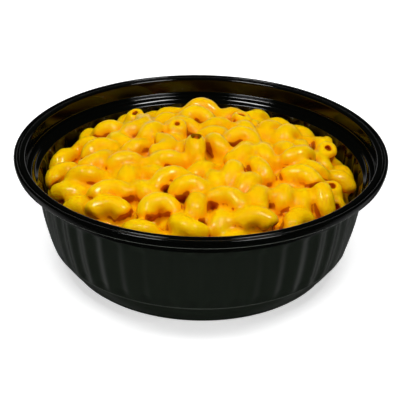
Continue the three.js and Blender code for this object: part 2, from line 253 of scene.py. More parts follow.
class HeapSettings(bpy.types.PropertyGroup):
    """Form and colours of the sauced macaroni."""

    top: FloatProperty(
        name="Top", description="The heap's middle above the plane of the lip", default=1.5 * MM,
        unit="LENGTH",
    )
    front_fall: FloatProperty(
        name="Front fall", description="How much lower the heap's edge is at the front", default=10.5 * MM,
        unit="LENGTH",
    )
    back_fall: FloatProperty(
        name="Back fall", description="How much lower the heap's edge is at the back", default=20 * MM,
        unit="LENGTH",
    )
    fillet: FloatProperty(
        name="Sauce fillet", description="Width over which sauce rounds the joints", default=3.4 * MM,
        unit="LENGTH",
    )
    cell: FloatProperty(name="Cell", description="Mesh size of the heap", default=0.72 * MM, unit="LENGTH")
    seed: IntProperty(
        name="Seed", description="Start of the draws for the scattered elbows", default=21, min=1
    )
    sauce: FloatVectorProperty(
        name="Sauce", description="Colour of the coated tubes", default=(0.81, 0.465, 0.0003), subtype="COLOR"
    )
    pale: FloatVectorProperty(
        name="Pale sauce", description="Colour where the coat is thin", default=(0.85, 0.53, 0.0006),
        subtype="COLOR",
    )
    # painted shade, partly pooled sauce: the more orange, darker colour of joints, steep sides and undersides
    pool: FloatVectorProperty(
        name="Deep sauce", description="Colour of sauce lying deep in the joints",
        default=(0.88, 0.33, 0.0003), subtype="COLOR",
    )
    # painted shade: the dark red-brown of the most closed-in places, such as the insides of the bores
    hollow: FloatVectorProperty(
        name="Hollow", description="Colour inside the tubes", default=(0.5, 0.1, 0.0005), subtype="COLOR"
    )


class StageSettings(bpy.types.PropertyGroup):
    """Camera, lights and floor."""

    distance: FloatProperty(
        name="Distance", description="Camera to the point that it looks at", default=642.7 * MM, unit="LENGTH"
    )
    elevation: FloatProperty(
        name="Elevation", description="Camera above the horizon", default=math.radians(28.33), subtype="ANGLE"
    )
    roll: FloatProperty(
        name="Roll", description="Turn of the camera about its own axis", default=math.radians(0.88),
        subtype="ANGLE",
    )
    lens: FloatProperty(name="Lens", description="Focal length", default=132.35, unit="CAMERA")
    aim_x: FloatProperty(
        name="Aim X", description="Point looked at, sideways", default=-0.15 * MM, unit="LENGTH"
    )
    aim_z: FloatProperty(
        name="Aim Z", description="Point looked at, height", default=27.0 * MM, unit="LENGTH"
    )
    side_power: FloatProperty(
        name="Side lights", description="Power of each side light", default=4.5, unit="POWER"
    )
    top_power: FloatProperty(
        name="Top light", description="Power of the top light", default=12.5, unit="POWER"
    )
    front_power: FloatProperty(
        name="Front lights", description="Power of each soft front light", default=7.4, unit="POWER"
    )
    mirror: FloatProperty(
        name="Mirrored floor", description="Brightness of the floor in the bowl's gloss", default=0.36, min=0
    )
    haze: FloatProperty(
        name="Horizon", description="Brightness of the room behind, near the horizon, in gloss", default=0.85,
        min=0,
    )
    glow: FloatProperty(
        name="Floor glow", description="Light that the floor gives of its own", default=0.52, min=0
    )
    floor: FloatVectorProperty(
        name="Floor", description="Colour of the floor", default=(0.9, 0.9, 0.9), subtype="COLOR"
    )


# ---------------------------------------------------------------- meshes and materials


NO_TRIANGLES = np.zeros((0, 3), int)


def new_piece(name, vertices, quads, triangles, attributes=None):
    """A smooth mesh object at the origin from millimetre vertices and arrays of quads and triangles."""
    mesh = bpy.data.meshes.new(name)
    corners = np.concatenate([np.ravel(quads), np.ravel(triangles)]).astype(np.int32)
    sizes = np.concatenate([np.full(len(quads), 4), np.full(len(triangles), 3)])
    starts = np.concatenate([[0], np.cumsum(sizes)[:-1]]).astype(np.int32)
    mesh.vertices.add(len(vertices))
    mesh.vertices.foreach_set("co", np.ravel(vertices * MM).astype(np.float32))
    mesh.loops.add(len(corners))
    mesh.loops.foreach_set("vertex_index", corners)
    mesh.polygons.add(len(sizes))
    mesh.polygons.foreach_set("loop_start", starts)
    mesh.polygons.foreach_set("use_smooth", np.ones(len(sizes), bool))
    for key, values in (attributes or {}).items():
        mesh.attributes.new(key, "FLOAT", "POINT").data.foreach_set("value", values.astype(np.float32))
    mesh.update(calc_edges=True)
    mesh.validate()
    piece = bpy.data.objects.new(name, mesh)
    bpy.context.scene.collection.objects.link(piece)
    return piece


class Channel:
    """A node's output socket. Arithmetic on it adds Math nodes, and add() adds any other node."""

    def __init__(self, tree, socket):
        self.tree = tree
        self.socket = socket

    @staticmethod
    def add(tree, kind, settings=None, inputs=None, output=0):
        """Adds a node of a kind, applies its settings, links or sets its inputs, and wraps one output."""
        node = tree.nodes.new(kind)
        for key, value in (settings or {}).items():
            setattr(node, key, value)
        for key, value in (inputs or {}).items():
            if isinstance(value, Channel):
                tree.links.new(value.socket, node.inputs[key])
            else:
                node.inputs[key].default_value = value
        return Channel(tree, node.outputs[output]) if len(node.outputs) else node

    def _math(self, operation, first, second):
        return Channel.add(self.tree, "ShaderNodeMath", {"operation": operation}, {0: first, 1: second})

    def __add__(self, other):
        return self._math("ADD", self, other)

    def __radd__(self, other):
        return self._math("ADD", other, self)

    def __sub__(self, other):
        return self._math("SUBTRACT", self, other)

    def __rsub__(self, other):
        return self._math("SUBTRACT", other, self)

    def __mul__(self, other):
        return self._math("MULTIPLY", self, other)

    def __rmul__(self, other):
        return self._math("MULTIPLY", other, self)

    def clamped(self):
        """The value kept between 0 and 1."""
        return Channel.add(self.tree, "ShaderNodeClamp", {}, {"Value": self})

    def rising(self, start, slope):
        """0 up to a start, and from there up to 1 at a slope."""
        return ((self - start) * slope).clamped()

    def falling(self, end, slope):
        """0 from an end on, and before it down from 1 at a slope."""
        return ((end - self) * slope).clamped()


def new_material(name):
    """An empty node material, with its tree and a channel of Object coordinates."""
    material = bpy.data.materials.new(name)
    material.use_nodes = True
    tree = material.node_tree
    tree.nodes.clear()
    place = Channel.add(tree, "ShaderNodeTexCoord", output=3)
    return material, tree, place


def noise(tree, place, scale, detail):
    """Noise of about 0 to 1 on Object coordinates, with a scale in waves a metre."""
    inputs = {"Vector": place, "Scale": scale, "Detail": detail}
    return Channel.add(tree, "ShaderNodeTexNoise", {"noise_dimensions": "3D"}, inputs)


def painted(tree, attribute):
    """The number that the mesh carries at each point under a name."""
    return Channel.add(tree, "ShaderNodeAttribute", {"attribute_name": attribute}, output=2)


def blended(tree, factor, first, second):
    """A colour mixed from first to second by a factor."""
    inputs = {0: factor, 6: first, 7: second}
    return Channel.add(tree, "ShaderNodeMix", {"data_type": "RGBA"}, inputs, output=2)


def finish_material(tree, shader_inputs):
    """Closes a material with a Principled shader and its output."""
    shader = Channel.add(tree, "ShaderNodeBsdfPrincipled", {}, shader_inputs)
    Channel.add(tree, "ShaderNodeOutputMaterial", {}, {"Surface": shader})


def rgba(colour):
    """A colour property as red, green, blue and alpha."""
    return (*colour, 1.0)


# ---------------------------------------------------------------- bowl


def rounded_profile(corners):
    """Polyline through corners of [radius, height, rounding]. Each corner is replaced by points of the
    parabola that leaves the side before it and joins the side after it, each at the rounding's distance, or
    at most near the middle of the side. A guard point lies beyond either end of it."""

    def guarded(length):
        """Share of a side at which its guard lies, between the rounding's end and the side's middle."""
        return (np.minimum(reach + GUARD, 0.25 * length + 0.5 * reach) / length)[:, None]

    points = np.array([corner[:2] for corner in corners], float)
    reach = np.array([corner[2] for corner in corners], float)
    before = np.roll(points, 1, axis=0) - points
    after = np.roll(points, -1, axis=0) - points
    length_before = np.hypot(*before.T)
    length_after = np.hypot(*after.T)
    reach = np.minimum(reach, MOST_REACH * np.minimum(length_before, length_after))
    entry = points + before * (reach / length_before)[:, None]
    leave = points + after * (reach / length_after)[:, None]
    early = points + before * guarded(length_before)
    late = points + after * guarded(length_after)
    share = np.linspace(0, 1, CORNER_FACETS + 1)[:, None]
    line = []
    for i, (point, start, end) in enumerate(zip(points, entry, leave)):
        if reach[i] <= 0:
            line.append(point[None])
        else:
            curve = (1 - share) ** 2 * start + 2 * share * (1 - share) * point + share**2 * end
            line.append(np.concatenate([early[i : i + 1], curve, late[i : i + 1]]))
    return np.concatenate(line)


def wall_radius(height, flute_top):
    """Outside radius of the fluted wall on its ribs: a straight taper and a parabola down from the throat."""
    down = (flute_top - height) / (flute_top - FOOT_HEIGHT)
    return THROAT_RADIUS - BELLY_SLOPE * down - BELLY_CURVE * down**2


def foot_radius(height):
    """Outside radius of the smooth foot, leaning in by a power of the share of its height."""
    return FOOT_RADIUS - (FOOT_RADIUS - BASE_RADIUS) * (1 - height / FOOT_HEIGHT) ** FOOT_POWER


def flute_draw(bearing, height, flute_top, count, depth):
    """How far the wall is drawn in: a cosine over the bearing, faded out at both ends of the flutes."""
    across = (1 - np.cos(count * (bearing - RIB_BEARING))) / 2
    fade_in = smoothstep(height, FOOT_HEIGHT, FOOT_HEIGHT + FLUTE_FADE)
    fade_out = 1 - smoothstep(height, flute_top - FLUTE_FADE, flute_top)
    return depth * across * fade_in * fade_out


def bowl_profile(lip_radius, lip_height, wall):
    """Outside from the base's middle up, over the lip, and down the inside to the middle again, by corners of
    [radius, height, rounding]. With it go, for each point, how satin the plastic is and how near it lies to
    an edge that carries a painted highlight line."""
    crest = lip_height + CREST_RISE
    ridge, groove = lip_height + RIDGE_RISE, lip_height - RIDGE_RISE
    skirt = lip_height - SKIRT
    ledge = lip_height - LEDGE_DEPTH
    flute_top = lip_height - THROAT_DEPTH
    foot = [(foot_radius(height), height, 1.2) for height in FOOT_ROWS]
    rise = np.linspace(FOOT_HEIGHT + 1.0, flute_top - 0.6, WALL_ROWS)
    side = [(wall_radius(height, flute_top), height, 0) for height in rise]
    outside = [
        (0, 0, 0),
        (BASE_RADIUS - 3.0, 0, 0),
        # the bead round the base
        (BASE_RADIUS - 0.6, 0, 0.5),
        (BASE_RADIUS + 0.5, 0.5, 0.6),
        (foot_radius(BEAD_HEIGHT) + BEAD_OUT, BEAD_HEIGHT, 0.3),
        (foot_radius(BEAD_HEIGHT + 0.4), BEAD_HEIGHT + 0.4, 0.3),
        *foot,
        # the ridge under the flutes
        (foot_radius(FOOT_HEIGHT - 0.7), FOOT_HEIGHT - 0.7, 0.3),
        (FOOT_RADIUS + SHOULDER_OUT, FOOT_HEIGHT, 0.35),
        (wall_radius(FOOT_HEIGHT + 0.6, flute_top), FOOT_HEIGHT + 0.6, 0.25),
        *side,
        # under the ledge and up behind the band that holds a lid
        (THROAT_RADIUS + 0.1, flute_top + 0.2, 0.8),
        (CREST_RADIUS + wall - 1.6, ledge - wall - 0.6, 1.6),
        (CREST_RADIUS + wall, ledge - wall + 1.2, 1.4),
        (CREST_RADIUS + wall, crest - 1.3, 0.6),
    ]
    lip = [
        # the skirt, up from inside it and round its edge
        (lip_radius - 1.3, lip_height - 0.9, 0.4),
        (lip_radius - 1.25, skirt, 0.35),
        (lip_radius - 0.5, skirt, 0.35),
        (lip_radius, lip_height - 1.2, 0.6),
        # the ridge, the groove and the flange's inner edge
        (lip_radius, ridge, 0.8),
        (lip_radius - RIDGE_WIDTH, ridge, 0.5),
        (lip_radius - GROOVE_START, groove, 0.2),
        (lip_radius - GROOVE_END, groove, 0.2),
        (lip_radius - SHELF_START, lip_height + SHELF_RISE, 0.5),
        (CREST_RADIUS, crest, 1.1),
    ]
    down = [(radius - wall, height, 0) for radius, height, _ in side[::-1]]
    inside = [
        # the ledge that holds a lid
        (CREST_RADIUS - 0.05, ledge, 0.7),
        (LEDGE_RADIUS + 0.2, ledge - 0.15, 1.0),
        (LEDGE_RADIUS - 0.7, ledge - 1.75, 0.7),
        (THROAT_RADIUS - wall, flute_top, 0.6),
        *down,
        # the round of the floor
        (foot_radius(FOOT_HEIGHT - 1) - wall, FOOT_HEIGHT - 1, 1.5),
        (BASE_RADIUS - 0.6, wall, 3.0),
        (0, wall, 0),
    ]
    line = rounded_profile([*outside, *lip, *inside])
    outer = np.arange(len(line)) < np.argmax(line[:, 0])
    satin = outer * smoothstep(-line[:, 1], -SATIN_HEIGHT, SATIN_FADE - SATIN_HEIGHT)
    # these edges get the painted highlight lines: the skirt's lower edge, the ridge under the flutes and the
    # edge of the base
    edges = [(lip_radius - 0.35, skirt + 0.15), (FOOT_RADIUS + 0.3, FOOT_HEIGHT), (BASE_RADIUS + 0.4, 0.5)]
    away = [np.hypot(line[:, 0] - radius, line[:, 1] - height) for radius, height in edges]
    painted_edge_highlight = np.clip(2.0 - np.min(away, axis=0) / EDGE_HIGHLIGHT_WIDTH, 0, 1)
    return line, satin, painted_edge_highlight


def round_rings(values, around):
    """A value at each point of a profile, for each vertex that carried_round makes of it."""
    return np.concatenate([np.repeat(values[1:-1], around), values[[0, -1]]])


def carried_round(profile, bearings, shift):
    """A profile carried round Z as a grid: at a bearing b a point lies at radius (r - shift(b, z)) along
    (sin b, -cos b). Its first and last points are on the axis and close the poles with fans of triangles."""
    rings = profile[1:-1]
    radius = rings[:, :1] - np.where(rings[:, :1] < BASE_RADIUS, 0, shift(bearings[None], rings[:, 1:]))
    height = np.broadcast_to(rings[:, 1:], radius.shape)
    grid = np.stack([radius * np.sin(bearings), -radius * np.cos(bearings), height], axis=-1)
    count, around = radius.shape
    index = np.arange(count * around).reshape(count, around)
    ahead = np.roll(index, -1, axis=1)
    quads = np.stack([index[:-1], ahead[:-1], ahead[1:], index[1:]], axis=-1).reshape(-1, 4)
    first, last = count * around, count * around + 1
    bottom = np.stack([np.full(around, first), ahead[0], index[0]], axis=-1)
    top = np.stack([np.full(around, last), index[-1], ahead[-1]], axis=-1)
    poles = np.array([[0, 0, profile[0, 1]], [0, 0, profile[-1, 1]]])
    return np.concatenate([grid.reshape(-1, 3), poles]), quads, np.concatenate([bottom, top])


def plastic_material(settings):
    """Glossy black moulded plastic, satin and a little greener on the outside of the wall, with faint flow
    marks in its tint and painted highlights: paler lines along three edges of the profile."""
    material, tree, place = new_material("black_plastic")
    flow = noise(tree, place, scale=38.0, detail=2.0)
    satin, painted_edge_highlight = painted(tree, "satin"), painted(tree, "painted_edge_highlight")
    roughness = settings.roughness + satin * settings.satin
    tint = blended(tree, satin * (flow * 0.2 + 0.9), rgba(settings.colour), rgba(settings.wall_colour))
    # painted highlight: paler lines along the three edges
    tint = blended(tree, painted_edge_highlight * (flow * 0.6 + 0.4), tint, rgba(settings.edge_highlight_colour))
    inputs = {"Base Color": tint, "Roughness": roughness, "IOR": 1.49, "Specular IOR Level": 0.38}
    finish_material(tree, inputs)
    return material


class MACARONI_OT_bowl(bpy.types.Operator):
    """Build the fluted bowl"""

    bl_idname = "macaroni.bowl"
    bl_label = "Bowl"

    def execute(self, context):
        settings = context.scene.macaroni_bowl
        lip_height, depth = settings.lip_height / MM, settings.flute_depth / MM
        profile, satin, painted_edge_highlight = bowl_profile(settings.lip_radius / MM, lip_height, settings.wall / MM)
        around = settings.flutes * FLUTE_FACETS
        bearings = RIB_BEARING + np.arange(around) * (2 * math.pi / around)
        flute_top = lip_height - THROAT_DEPTH

        def shift(bearing, height):
            return flute_draw(bearing, height, flute_top, settings.flutes, depth)

        attributes = {"satin": round_rings(satin, around), "painted_edge_highlight": round_rings(painted_edge_highlight, around)}
        piece = new_piece("fluted_bowl", *carried_round(profile, bearings, shift), attributes)
        piece.data.materials.append(plastic_material(settings))
        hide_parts("bowl")
        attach(piece, "root")
        return {"FINISHED"}


# ---------------------------------------------------------------- elbows


class Draws:
    """The same random numbers on every run: each state is the last one times a factor, modulo a prime."""

    def __init__(self, seed):
        self.state = seed

    def between(self, low, high):
        """A number from low to high."""
        self.state = self.state * LEHMER_FACTOR % LEHMER_PRIME
        return low + ((high - low) * self.state) / LEHMER_PRIME


def turned_about(axis, angle):
    """Rotation matrix about one axis."""
    return np.array(Matrix.Rotation(angle, 3, axis))


class Elbow:
    """A bent tube: an arc about its own middle, turned to lie as it does in the heap, with flat-cut ends."""

    def __init__(self, bend, sweep, spin, lean, turn, tube):
        self.bend = bend
        self.sweep = sweep
        self.half = sweep / 2 + OVERHANG / bend  # from the arc's middle to a cut end
        self.middle = math.sin(sweep / 2) / (sweep / 2)  # the arc's centroid, as a share of the bend radius
        self.lay = turned_about("Z", turn) @ turned_about("X", lean) @ turned_about("Z", spin)
        self.tube = tube
        self.place = np.zeros(3)
        self.yielding = 1.0  # how freely it moves when the heap settles
        self.bore = BORES[0]  # radius of its hollow
        self.hollow = (0.0, 0.0)  # how deep it is open at either end
        self.tone = 0.0  # lighter or deeper than the others, -1 to 1

    def points(self, angles):
        """Points of the centre line at angles a from its middle: bend * (cos a - middle, sin a, 0), laid."""
        arc = self.bend * np.stack([np.cos(angles) - self.middle, np.sin(angles), 0 * angles], axis=-1)
        return arc @ self.lay.T + self.place

    def beads(self):
        """Evenly spaced points from the first to the last bead."""
        return self.points(np.linspace(-self.sweep / 2, self.sweep / 2, BEADS))

    def move_inside(self, room):
        """Moves the elbow towards the middle until it is clear of the wall."""
        beads = self.beads()
        out = np.maximum(np.hypot(beads[:, 0], beads[:, 1]), 0.1)
        excess = 1 - (room(beads[:, 2]) - self.tube - CORNER_REACH) / out
        worst = np.argmax(excess)
        self.place[:2] -= beads[worst, :2] * max(0.0, excess[worst])


class Heap:
    """The heap's surface and the elbows on it."""

    def __init__(self, bowl, settings):
        self.flute_top = bowl.lip_height / MM - THROAT_DEPTH
        self.inset = bowl.wall / MM + bowl.flute_depth / MM + HEAP_GAP
        self.summit = (bowl.lip_height + settings.top) / MM
        self.front_fall, self.back_fall = settings.front_fall / MM, settings.back_fall / MM
        self.draws = Draws(settings.seed)
        self.crown = []
        for posture, x, y, lift, turn in LANDMARKS:
            self.crown.append(self.laid(posture, x, y, lift, math.radians(turn)))
            self.crown[-1].yielding = LANDMARK_YIELD
        self.scatter(self.crown, *CROWN_FILL)
        self.bed = []
        self.scatter(self.bed, *BED_FILL)
        self.settle([*self.crown, *self.bed])

    def height(self, x, y):
        """A flat dome that falls away with the fourth power of the radius, and most at the back."""
        fall = self.front_fall + (self.back_fall - self.front_fall) * smoothstep(y, *FALL_TURN)
        return self.summit - fall * (np.hypot(x, y) / HEAP_RADIUS) ** 4

    def room(self, height):
        """How far out the food may reach at a height, clear of the flutes."""
        return wall_radius(np.minimum(height, ROOM_TOP), self.flute_top) - self.inset

    def laid(self, posture, x, y, lift, turn, size=1.0, more_lean=0.0):
        """An elbow in one of the postures, at a place on the heap."""
        bend, sweep, spin, lean, tube = POSTURES[posture]
        sweep, spin, lean = np.radians([sweep, spin, lean])
        elbow = Elbow(bend * size, sweep, spin, lean + more_lean, turn, tube * min(size, 1.0))
        elbow.place[:] = x, y, self.height(x, y) - CROWN_SINK + lift
        elbow.move_inside(self.room)
        elbow.place[2] = self.height(*elbow.place[:2]) - CROWN_SINK + lift
        return elbow

    def drawn(self, x, y, postures, lift):
        """An elbow of drawn posture, size and turn near a place."""
        draw = self.draws.between
        posture = postures[int(draw(0, len(postures)))]
        x, y = x + draw(-SCATTER, SCATTER), y + draw(-SCATTER, SCATTER)
        rise, turn = draw(*lift), draw(0, 2 * math.pi)
        size, more_lean = draw(*SIZES), draw(*LEANS)
        return self.laid(posture, x, y, rise, turn, size, more_lean)

    def scatter(self, layer, places, postures, lift, clearance):
        """Fills a layer over a sunflower spiral. Of the elbows drawn for a place the clearest one is kept, if
        its beads are far enough from those of the layer."""
        nowhere = [[0, 0, -1000.0]]  # stands for the others while the layer is empty
        beads = [elbow.beads() for elbow in layer]
        for seat in range(places):
            radius = SPREAD * math.sqrt((seat + 0.5) / places)
            bearing = seat * GOLDEN_ANGLE
            best, clearest = None, clearance
            for _ in range(TRIES):
                elbow = self.drawn(radius * math.cos(bearing), radius * math.sin(bearing), postures, lift)
                apart = elbow.beads()[:, None] - np.concatenate([*beads, nowhere])
                clear = np.linalg.norm(apart, axis=2).min()
                if clear > clearest:
                    best, clearest = elbow, clear
            if best is not None:
                layer.append(best)
                beads.append(best.beads())

    def settle(self, elbows):
        """Pushes elbows apart. Where beads of two of them are nearer than soft tubes lie, each moves away
        from the other by a share of what is missing, and then goes back towards its own height by a share."""
        owner = np.repeat(np.arange(len(elbows)), BEADS)
        tube = np.array([elbow.tube for elbow in elbows])[owner]
        need = np.where(owner[:, None] == owner, 0, PRESS * (tube[:, None] + tube))
        home = [elbow.place[2] for elbow in elbows]
        for _ in range(ROUNDS):
            beads = np.concatenate([elbow.beads() for elbow in elbows])
            apart = beads[:, None] - beads
            distance = np.maximum(np.linalg.norm(apart, axis=2), 0.1)
            push = PUSH * np.maximum(need - distance, 0) / distance
            moves = (push[..., None] * apart).sum(axis=1).reshape(len(elbows), BEADS, 3).sum(axis=1)
            for elbow, move, level in zip(elbows, moves, home):
                elbow.place += elbow.yielding * move
                elbow.place[2] += RETURN * (level - elbow.place[2])
                elbow.move_inside(self.room)


# ---------------------------------------------------------------- distance field and its surface


def rounded_max(first, second, rounding):
    """The greater of two fields, with their common edge rounded off over a width."""
    blend = np.maximum(rounding - np.abs(first - second), 0) / rounding
    return np.maximum(first, second) + blend * blend * rounding / 4


def elbow_distance(points, elbow):
    """Distance to a bent tube, negative inside. Within the arc it is the distance to the centre line less the
    tube's radius, past an end it is taken from the end's plane, both edges are rounded, and a shorter,
    thinner tube is taken out of each end for the hollow."""
    local = (points - elbow.place) @ elbow.lay
    x, y, z = local[..., 0] + elbow.bend * elbow.middle, local[..., 1], local[..., 2]
    angle = np.arctan2(np.abs(y), x)
    past = angle - elbow.half
    reach = np.hypot(x, y)
    along = np.where(past < 0, elbow.bend * past, reach * np.sin(np.clip(past, 0, math.pi / 2)))
    across = np.where(past < 0, reach, reach * np.cos(np.clip(past, 0, math.pi))) - elbow.bend
    tube = elbow.tube * (TUBE_SHARE - END_THINNING * smoothstep(along, -END_LENGTH, 0.0))
    side, end = np.hypot(across, z) - tube + END_ROUND, along + END_ROUND
    outer = np.hypot(np.maximum(side, 0), np.maximum(end, 0))
    solid = outer + np.minimum(np.maximum(side, end), 0) - END_ROUND
    depth = np.where(y > 0, elbow.hollow[0], elbow.hollow[1])
    hollow = np.maximum(np.hypot(across, z * BORE_FLATNESS) - elbow.bore, -along - depth)
    return rounded_max(solid, -hollow, BORE_ROUND)


def heap_field(heap, fillet, cell):
    """Samples the sauced heap on a grid. Elbow by elbow the lesser distance is kept, and where two are nearly
    equal it is lowered by a parabola of their difference, so sauce rounds the joint. Returns the grid's
    corner, the field and the tones blended with it."""
    half = heap.room(ROOM_TOP) + SPARE_ASIDE
    low = np.array([-half, -half, FIELD_FLOOR - SPARE_BELOW])
    high = np.array([half, half, heap.summit + SPARE_ABOVE])
    axes = [np.arange(a, b, cell) for a, b in zip(low, high)]
    x, y, z = np.meshgrid(*axes, indexing="ij", sparse=True)
    core = CORE_SLOPE * (z - heap.height(x, y) + CORE_DEPTH)
    field = rounded_max(core, np.hypot(x, y) - heap.room(z) + CORE_INSET, CORE_ROUND)
    tone = np.zeros_like(field)
    for elbow in [*heap.bed, *heap.crown]:
        line = elbow.points(np.linspace(-elbow.half, elbow.half, 4 * BEADS))
        reach = elbow.tube + WINDOW_MARGIN
        first = np.maximum(np.floor((line.min(axis=0) - reach - low) / cell), 0).astype(int)
        last = np.ceil((line.max(axis=0) + reach - low) / cell).astype(int)
        window = tuple(slice(a, b) for a, b in zip(first, last))
        parts = [axis[part] for axis, part in zip(axes, window)]
        distance = elbow_distance(np.stack(np.meshgrid(*parts, indexing="ij"), axis=-1), elbow)
        before = field[window]
        blend = np.maximum(fillet - np.abs(before - distance), 0) / fillet
        share = np.clip(0.5 + 0.5 * (before - distance) / fillet, 0, 1)
        tone[window] = tone[window] * (1 - share) + elbow.tone * share
        field[window] = np.minimum(before, distance) - blend * blend * fillet / 4
    # waves without a common period, in radians a millimetre
    ripple = np.sin(x * 0.83 + 1.0) * np.sin(y * 0.71 + z * 0.35) + np.sin(x * 0.47 - y * 0.59 + z * 0.9)
    fine = np.sin(x * 2.1 + y * 0.9 + 2 * ripple) * np.sin(y * 1.9 - z * 1.3 + ripple)
    field += RIPPLE * ripple + FINE_RIPPLE * fine
    return low, np.maximum(field, FIELD_FLOOR - z), tone


def sampled(field, places):
    """The field at places in grid cells, mixed linearly from the eight corners round each."""
    base = np.clip(np.floor(places).astype(int), 0, np.array(field.shape) - 2)
    part = places - base
    total = 0
    for corner in np.ndindex(2, 2, 2):
        weight = np.prod(np.where(corner, part, 1 - part), axis=1)
        total = total + weight * field[tuple((base + corner).T)]
    return total


def slopes(field, places):
    """Gradient of the field at places, per cell, from differences half a cell to each side."""
    steps = 0.5 * np.eye(3)
    return np.stack([sampled(field, places + step) - sampled(field, places - step) for step in steps], axis=1)


def zero_surface(field):
    """Surface where the field is zero, by surface nets: a vertex in each cell that it crosses, at the mean of
    the crossings on the cell's edges, and a quad round each grid edge that it crosses."""
    inside = field < 0
    corners = np.array(list(np.ndindex(2, 2, 2)))
    shape = np.array(field.shape) - 1
    count = sum(
        inside[tuple(slice(c, c + s) for c, s in zip(corner, shape))].astype(np.int8) for corner in corners
    )
    cells = np.argwhere((count > 0) & (count < 8))
    values = np.stack([field[tuple((cells + corner).T)] for corner in corners], axis=1)
    total = np.zeros((len(cells), 3))
    crossings = np.zeros(len(cells))
    for a in range(8):
        for b in range(a + 1, 8):
            if np.abs(corners[a] - corners[b]).sum() != 1:
                continue
            crossed = (values[:, a] < 0) != (values[:, b] < 0)
            gap = np.where(crossed, values[:, a] - values[:, b], 1.0)
            share = np.where(crossed, values[:, a] / gap, 0.0)
            spot = corners[a] + share[:, None] * (corners[b] - corners[a])
            total += np.where(crossed[:, None], spot, 0)
            crossings += crossed
    places = cells + total / crossings[:, None]
    number = np.full(shape, -1)
    number[tuple(cells.T)] = np.arange(len(cells))
    quads = []
    for axis in range(3):
        others = [(axis + 1) % 3, (axis + 2) % 3]
        here = [slice(1, -1)] * 3
        here[axis] = slice(0, -1)
        ahead = list(here)
        ahead[axis] = slice(1, None)
        start, stop = inside[tuple(here)], inside[tuple(ahead)]
        edges = np.argwhere(start != stop)
        offset = np.ones(3, int)
        offset[axis] = 0
        edges_at = edges + offset
        leaving = start[tuple(edges.T)]
        steps = np.zeros((4, 3), int)
        steps[1, others[0]] = steps[2, others[0]] = -1
        steps[2, others[1]] = steps[3, others[1]] = -1
        ring = np.stack([number[tuple((edges_at + step).T)] for step in steps], axis=1)
        quads.append(np.where(leaving[:, None], ring[:, ::-1], ring))
    quads = np.concatenate(quads)
    return places, quads[(quads >= 0).all(axis=1)][:, ::-1]


def relaxed(field, places, quads, rounds):
    """Evens out the mesh: each vertex goes halfway to the mean of its neighbours, then back to the surface
    along the gradient."""
    ends = np.concatenate([quads[:, [i, (i + 1) % 4]] for i in range(4)])
    ends = np.concatenate([ends, ends[:, ::-1]])
    degree = np.bincount(ends[:, 0], minlength=len(places))[:, None]
    for _ in range(rounds):
        sums = [np.bincount(ends[:, 0], places[ends[:, 1], k], len(places)) for k in range(3)]
        places = 0.5 * places + 0.5 * np.stack(sums, axis=1) / degree
        slope = slopes(field, places)
        size = np.maximum((slope**2).sum(axis=1), 0.04)  # keeps the step short where the field is flat
        places = places - (sampled(field, places) / size)[:, None] * slope
    return places


def macaroni_material(settings):
    """Cheese sauce on pasta: the tone differs from tube to tube, the coat is wet and thin, and light passes a
    little way through. Closed-in joints, steep sides and undersides are painted more orange and darker,
    partly as sauce pooled there and partly as painted shade. The most closed-in places, the bores among them,
    are painted dark red-brown as painted shade."""
    material, tree, place = new_material("cheese_sauce")
    crevice_shade, tone = painted(tree, "crevice_shade"), painted(tree, "tone")
    cloud = noise(tree, place, scale=130.0, detail=2.0)
    speck = noise(tree, place, scale=1500.0, detail=3.0)
    wrinkle = noise(tree, place, scale=260.0, detail=0.0)
    light = ((cloud - 0.5) * 1.1 + tone * 0.5 + 0.42).clamped()
    # painted shade, partly pooled sauce: more orange and darker where the surface is closed in, steep or
    # looks down
    deep = ((crevice_shade - 0.05) * 1.25 + (speck - 0.5) * 0.1).clamped()
    # painted shade: dark red-brown where the surface is most closed in, such as inside the bores
    bore = crevice_shade.rising(0.8, 6.0)
    colour = blended(tree, light, rgba(settings.sauce), rgba(settings.pale))
    colour = blended(tree, deep, colour, rgba(settings.pool))
    colour = blended(tree, bore, colour, rgba(settings.hollow))
    roughness = (cloud - 0.5) * 0.1 + (speck - 0.5) * 0.03 + 0.3
    film = (cloud * 0.5 + 0.22).clamped()
    bump = {"Strength": 1.0, "Distance": 0.5 * MM, "Height": wrinkle}
    skin = Channel.add(tree, "ShaderNodeBump", {}, bump)
    inputs = {
        "Base Color": colour,
        "Roughness": roughness,
        "Normal": skin,
        "IOR": 1.42,
        "Specular IOR Level": 0.08,
        "Subsurface Weight": 0.8,
        "Subsurface Radius": (1.0, 0.9, 0.4),
        "Subsurface Scale": 2.0 * MM,
        "Coat Weight": film,
        "Coat Roughness": 0.02,
        "Coat IOR": 1.36,
    }
    finish_material(tree, inputs)
    return material


def finish_elbows(heap):
    """Gives each elbow its tone and the depth to which sauce leaves its ends open, by draws of their own."""
    draw = Draws(FINISH_SEED).between
    for elbow in [*heap.crown, *heap.bed]:
        elbow.tone = draw(-1, 1)
        elbow.bore = draw(*BORES)
        elbow.hollow = (draw(*BORE_DEPTHS), draw(*BORE_DEPTHS))
    for elbow, landmark in zip(heap.crown, LANDMARKS):
        if landmark[0] in OPEN_POSTURES:
            elbow.hollow = (OPEN_DEPTH, OPEN_DEPTH)


def core_profile(heap, floor):
    """The food that isn't seen: it stands inside the flutes, from the bowl's floor to a little over the flat
    cut under the heap."""
    top = FIELD_FLOOR + CORE_OVERLAP
    side = [(heap.room(height), height, 1.0) for height in CORE_ROWS]
    edges = [(BASE_RADIUS - 3, floor, 1.0), *side, (heap.room(top) - 3, top, 1.0)]
    return rounded_profile([(0, floor, 0), *edges, (0, top, 0)])


